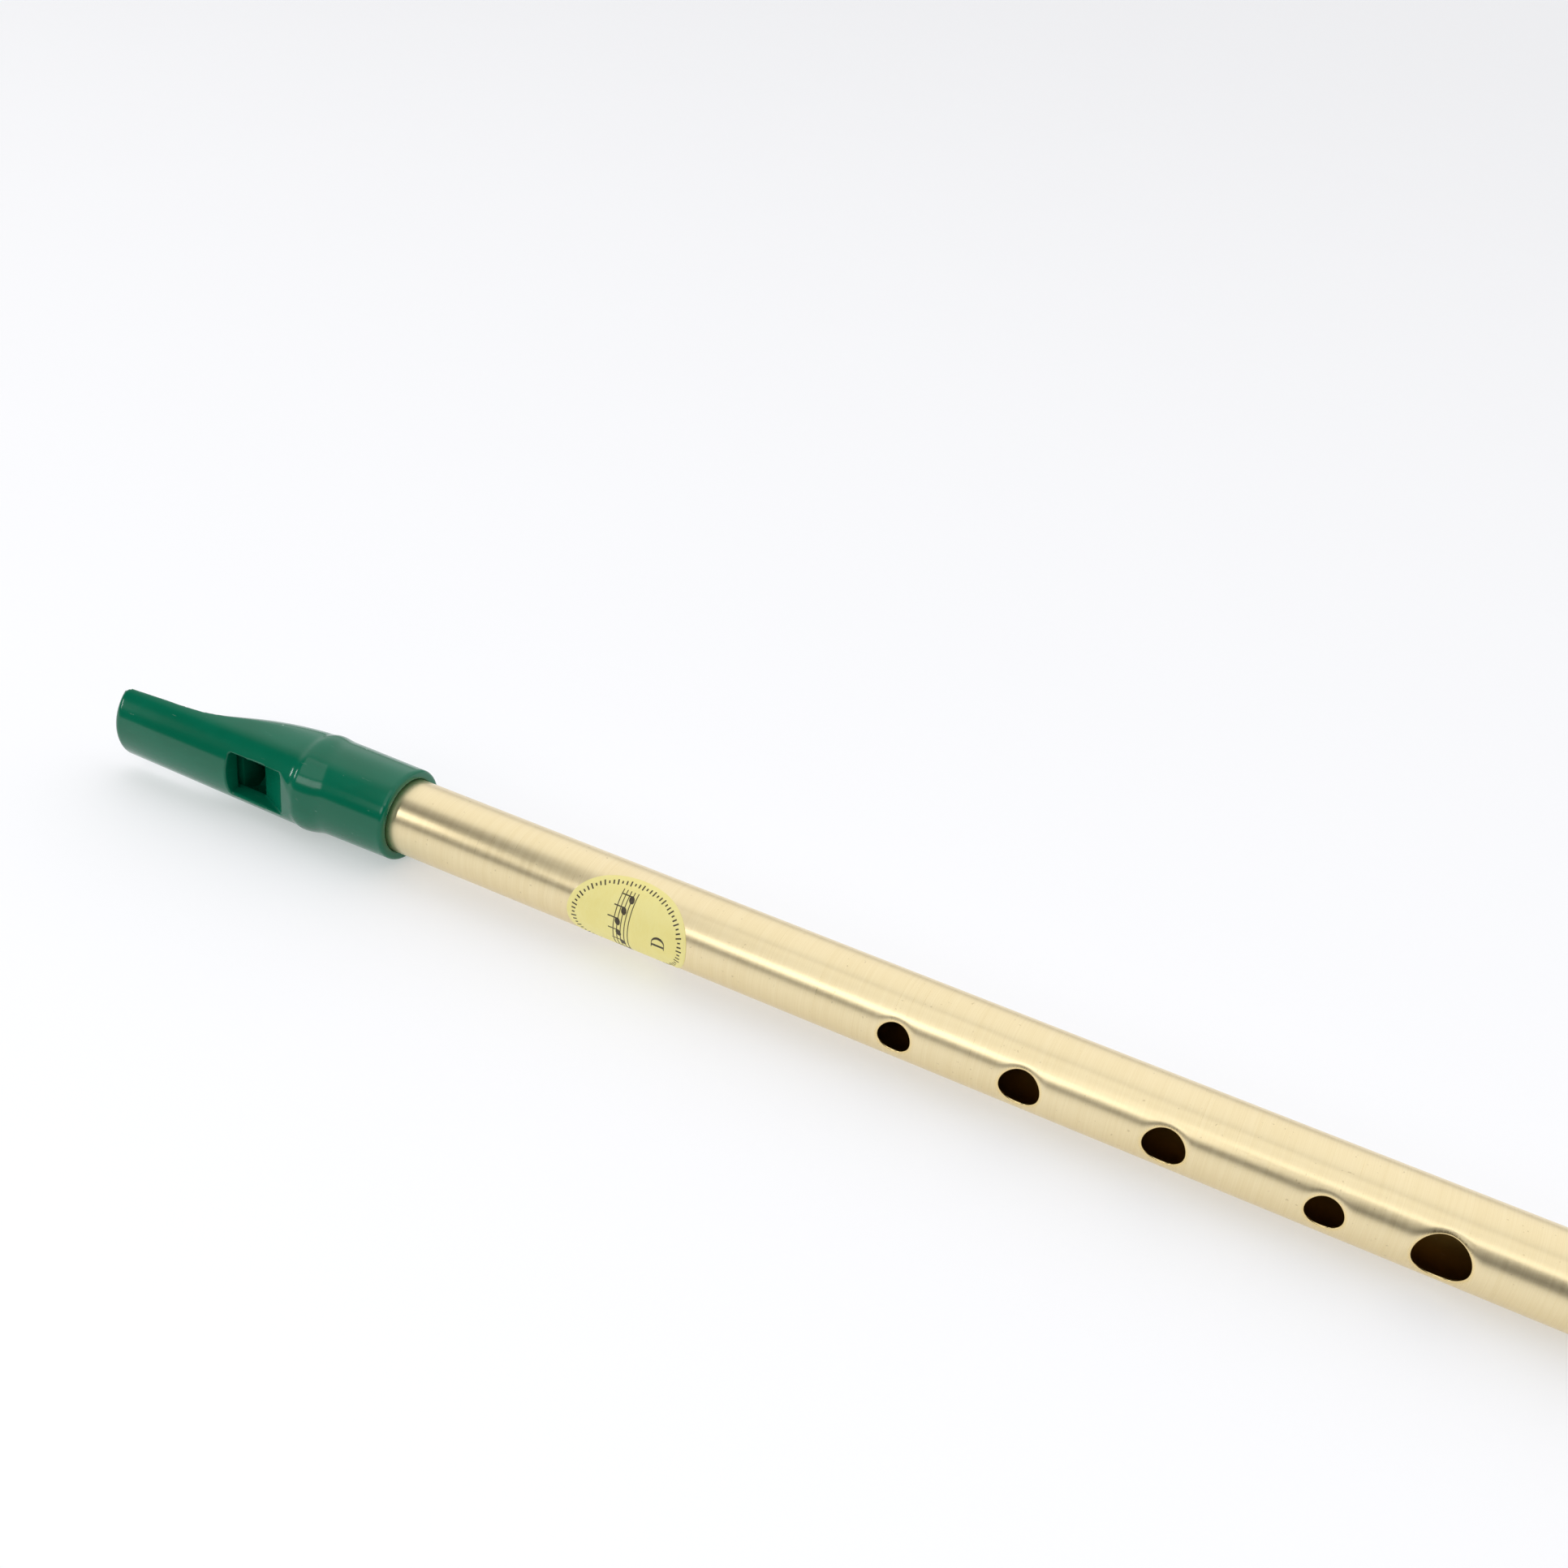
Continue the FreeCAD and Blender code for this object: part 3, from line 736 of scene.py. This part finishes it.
def makeLabel():
    halfLength, halfWidth, thick = label["halfLength"], label["halfWidth"], label["thick"]
    rings, around = label["rings"], label["around"]
    points, faces = [], []
    levels = [(k / rings, thick) for k in range(1, rings)]
    levels += [(1 - label["edgeRound"] / halfWidth, thick * 0.95), (1.0, thick * 0.6), (1.0, 0.0)]
    levels += [(1 - k / rings, 0.0) for k in range(1, rings)]
    points.append((label["centre"].x, 0.0, thick))
    for share, height in levels:
        for i in range(around):
            turn = 2 * math.pi * i / around
            points.append((label["centre"].x + halfLength * share * math.cos(turn),
                           halfWidth * share * math.sin(turn), height))
    points.append((label["centre"].x, 0.0, 0.0))
    last = len(points) - 1
    for i in range(around):
        j = (i + 1) % around
        faces.append((0, 1 + i, 1 + j))
        faces.append((last, last - around + j, last - around + i))
        for ring in range(len(levels) - 1):
            first, second = 1 + ring * around, 1 + (ring + 1) * around
            faces.append((first + i, second + i, second + j, first + j))
    mesh = bpy.data.meshes.new("labelSheet")
    mesh.from_pydata(points, [], faces)
    piece = newPiece("paperLabel", mesh)
    applyTree(piece, rollRound, Radius=tubeRadius, Join_distance=joinGap, Material=paper)
    faceOutwards(piece.data)
    shadeSmooth(piece.data, label["sharpAngle"])
    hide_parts("label")
    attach(piece, "tube")
    print("label made,", len(piece.data.polygons), "faces")


makeLabel()

stave = {
    "centre": -0.9 * mm,     # along the tube from the label's centre
    "lineGap": 0.66 * mm,
    "lineWide": 0.15 * mm,
    "halfRun": 6.3 * mm,     # along the curve
    "cuts": 26,              # short lengths, so that the lines follow the tube's round
    "noteLong": 0.66 * mm,
    "noteHigh": 0.46 * mm,
    "stemLong": 1.9 * mm,
    "stemWide": 0.20 * mm,
    "stemFoot": 0.1 * mm,
    "tilt": 24,
    "noteSides": 20,
    "notes": [(-5.0, -1.5), (-3.0, -0.5), (-1.0, 0.5), (1.0, 1.0), (3.0, 0.0), (5.0, -1.0)],
}
border = {"inset": 1.25 * mm, "marks": 75, "size": Vector((0.95, 0.24, 0.0)) * mm}
keyLetter = {"high": 2.35 * mm, "along": 5.9 * mm, "steps": 24}


def printPrism(outline, base):       # outline in the reading direction, as (right, up)
    points = []
    for height in (label["thick"], label["thick"] + label["inkThick"]):
        points += [(label["centre"].x + stave["centre"] - up, right, height) for right, up in outline]
    count = len(outline)
    faces = [tuple(base + i for i in range(count)), tuple(base + 2 * count - 1 - i for i in range(count))]
    for i in range(count):
        j = (i + 1) % count
        faces.append((base + i, base + j, base + count + j, base + count + i))
    return points, faces


def staveOutlines():
    half, wide, cuts = stave["halfRun"], stave["lineWide"] / 2, stave["cuts"]
    for line in range(-2, 3):
        up = line * stave["lineGap"]
        for cut in range(cuts):
            left = -half + 2 * half * cut / cuts
            right = left + 2 * half / cuts
            yield [(left, up - wide), (right, up - wide), (right, up + wide), (left, up + wide)]
    tilt = math.radians(stave["tilt"])
    sides = stave["noteSides"]
    for place, step in stave["notes"]:
        centre, up = place * mm, step * stave["lineGap"]
        oval = []
        for i in range(sides):
            a = 2 * math.pi * i / sides
            p, q = stave["noteLong"] * math.cos(a), stave["noteHigh"] * math.sin(a)
            oval.append((centre + p * math.cos(tilt) - q * math.sin(tilt),
                         up + p * math.sin(tilt) + q * math.cos(tilt)))
        yield oval
        right = centre + stave["noteLong"] * 0.9
        left = right - stave["stemWide"]
        foot, top = up + stave["stemFoot"], up + stave["stemLong"]
        yield [(left, foot), (right, foot), (right, top), (left, top)]


def letterMesh():            # a plain letter D with serifs; its outlines are in shares of its height
    steps = keyLetter["steps"]
    turns = [math.pi * (i / steps - 0.5) for i in range(steps + 1)]
    bowl = [(0.40 + 0.46 * math.cos(a), 0.5 + 0.5 * math.sin(a)) for a in turns]
    inner = [(0.36 + 0.32 * math.cos(a), 0.5 + 0.45 * math.sin(a)) for a in turns]
    outer = [(0, 0), *bowl, (0, 1), (0, 0.96), (0.13, 0.93), (0.13, 0.07), (0, 0.04)]
    curve = bpy.data.curves.new("keyLetter", "CURVE")
    curve.dimensions = "2D"
    curve.fill_mode = "BOTH"
    curve.extrude = label["inkThick"] / 2
    for outline in (outer, [(0.29, 0.05), *inner, (0.29, 0.95)]):
        line = curve.splines.new("POLY")
        line.points.add(len(outline) - 1)
        line.use_cyclic_u = True
        for point, (right, up) in zip(line.points, outline):
            point.co = ((right - 0.43) * keyLetter["high"], (up - 0.5) * keyLetter["high"], 0, 1)
    letter = newPiece("keyLetter", curve)
    graph = bpy.context.evaluated_depsgraph_get()
    mesh = bpy.data.meshes.new_from_object(letter.evaluated_get(graph))
    bpy.data.objects.remove(letter)
    middle = label["thick"] + label["inkThick"] / 2
    x = label["centre"].x + keyLetter["along"]
    turned = Matrix(((0, -1, 0, x), (1, 0, 0, 0), (0, 0, 1, middle), (0, 0, 0, 1)))
    mesh.transform(turned)
    return mesh


def makePrint():
    points, faces = [], []
    for outline in staveOutlines():
        more, moreFaces = printPrism(outline, len(points))
        points += more
        faces += moreFaces
    mesh = bpy.data.meshes.new("labelMarks")
    mesh.from_pydata(points, [], faces)
    shape = bmesh.new()
    shape.from_mesh(mesh)
    shape.from_mesh(letterMesh())
    shape.to_mesh(mesh)
    shape.free()
    piece = newPiece("labelPrint", mesh)
    size = border["size"].copy()
    size.z = label["inkThick"]
    oval = Vector((label["halfLength"] - border["inset"], label["halfWidth"] - border["inset"], 1))
    centre = label["centre"] + Vector((0, 0, label["thick"] + label["inkThick"] / 2))
    applyTree(piece, makePrintTree(), Radius=tubeRadius, Join_distance=joinGap / 20, Material=ink,
              Centre=centre, Oval=oval, Marks=border["marks"], Mark_size=size, Cuts=2)
    faceOutwards(piece.data)
    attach(piece, "tube")
    print("print made,", len(piece.data.polygons), "faces")


makePrint()


# Stage: a pale sweep that touches the shoulder ring and the tube's foot

floor = {
    "ringX": rimX - 17.5 * mm,
    "size": 9.0,
    "gap": 0.02 * mm,
    "colour": (0.60, 0.605, 0.62),
    "roughness": 0.7,
    "glow": 0.39,
}


def makeFloor():
    slope = (headLow.z + tubeRadius) / (floor["ringX"] - tubeHigh.x)
    size = floor["size"]
    corners = [(x, y, -tubeRadius + slope * (x - tubeHigh.x) - floor["gap"])
               for x, y in ((-size, -size), (size, -size), (size, size), (-size, size))]
    mesh = bpy.data.meshes.new("sweep")
    mesh.from_pydata(corners, [], [(0, 1, 2, 3)])
    piece = newPiece("sweep", mesh)
    material, tree = newMaterial("paleSweep")
    mottle = noise(tree, objectPlace(tree), (12.0, 12.0, 12.0), 2.0)
    low = tuple(0.985 * part for part in floor["colour"])
    finishSurface(tree, Base_Color=mixColour(tree, mottle, floor["colour"], low),
                  Roughness=floor["roughness"], Emission_Color=(1.0, 1.0, 1.01, 1.0),
                  Emission_Strength=floor["glow"])
    mesh.materials.append(material)


def makeWorld():
    # Light by direction: dim in front, where the room is, and pale overhead and behind.
    world = bpy.data.worlds.new("studio")
    world.use_nodes = True
    tree = world.node_tree
    tree.nodes.clear()
    direction = addNode(tree, "ShaderNodeTexCoord", output="Generated")
    parts = addNode(tree, "ShaderNodeSeparateXYZ", None, {0: direction})
    rise = parts.sum("ARCTAN2", parts.out("Z"), 0.0 - parts.out("Y"))    # 0 in front, half pi overhead
    share = rise / math.pi
    colour = addNode(tree, "ShaderNodeValToRGB", {"stops": [
        (0.0, (0.10, 0.10, 0.10)),
        (0.04, (0.03, 0.03, 0.03)),
        (0.37, (0.04, 0.04, 0.04)),
        (0.50, (1.08, 1.08, 1.09)),
        (0.85, (1.12, 1.12, 1.14)),
        (0.93, (0.90, 0.90, 0.91)),
        (0.965, (0.55, 0.54, 0.53)),
        (1.0, (0.40, 0.38, 0.36)),
    ]}, {0: share})
    light = addNode(tree, "ShaderNodeBackground", None, {"Color": colour, "Strength": 1.0})
    addNode(tree, "ShaderNodeOutputWorld", None, {"Surface": light})
    bpy.context.scene.world = world


lamps = {        # place past the head's rim, rise in degrees, distance, width, height and radiance
    "tallLeft": (-1.40, 33, 1.2, 0.10, 0.42, 34.0),
    "stripLeft": (-0.29, 26, 1.2, 0.78, 0.30, 3.0),
    "stripRight": (0.58, 41, 1.18, 1.05, 0.12, 2.0),
    "frontTop": (0.155, 57, 1.2, 1.69, 0.86, 1.0),
}


def softbox(name, x, rise, distance, width, height, radiance):
    lamp = bpy.data.lights.new(name, "AREA")
    lamp.shape = "RECTANGLE"
    lamp.size = width
    lamp.size_y = height
    lamp.energy = radiance * width * height * math.pi
    piece = bpy.data.objects.new(name, lamp)
    angle = math.radians(rise)
    back = Vector((0, -math.cos(angle), math.sin(angle)))
    turn = Matrix((Vector((1, 0, 0)), back.cross(Vector((1, 0, 0))), back)).transposed().to_4x4()
    piece.matrix_world = Matrix.Translation(Vector((x, 0, 0)) + back * distance) @ turn
    bpy.context.scene.collection.objects.link(piece)


def makeLights():
    for name, (past, rise, distance, width, height, radiance) in lamps.items():
        softbox(name, rimX + past, rise, distance, width, height, radiance)


camera = {
    "lens": 38.4,
    "sensor": 36.0,
    "nearest": 0.01,
    "place": Vector((rimX + 150.1 * mm, -193.9 * mm, 155.4 * mm)),
    "forward": Vector((-0.338, 0.793, -0.507)),
    "up": Vector((-0.319, 0.411, 0.854)),
}


def makeCamera():
    data = bpy.data.cameras.new("camera")
    data.lens = camera["lens"]
    data.sensor_width = camera["sensor"]
    data.clip_start = camera["nearest"]
    piece = bpy.data.objects.new("camera", data)
    forward = camera["forward"].normalized()
    right = forward.cross(camera["up"]).normalized()
    up = right.cross(forward)
    turn = Matrix((right, up, -forward)).transposed().to_4x4()
    piece.matrix_world = Matrix.Translation(camera["place"]) @ turn
    bpy.context.scene.collection.objects.link(piece)
    bpy.context.scene.camera = piece


makeFloor()
makeWorld()
makeLights()
makeCamera()
bpy.context.scene.view_settings.view_transform = "Standard"
print("stage set")
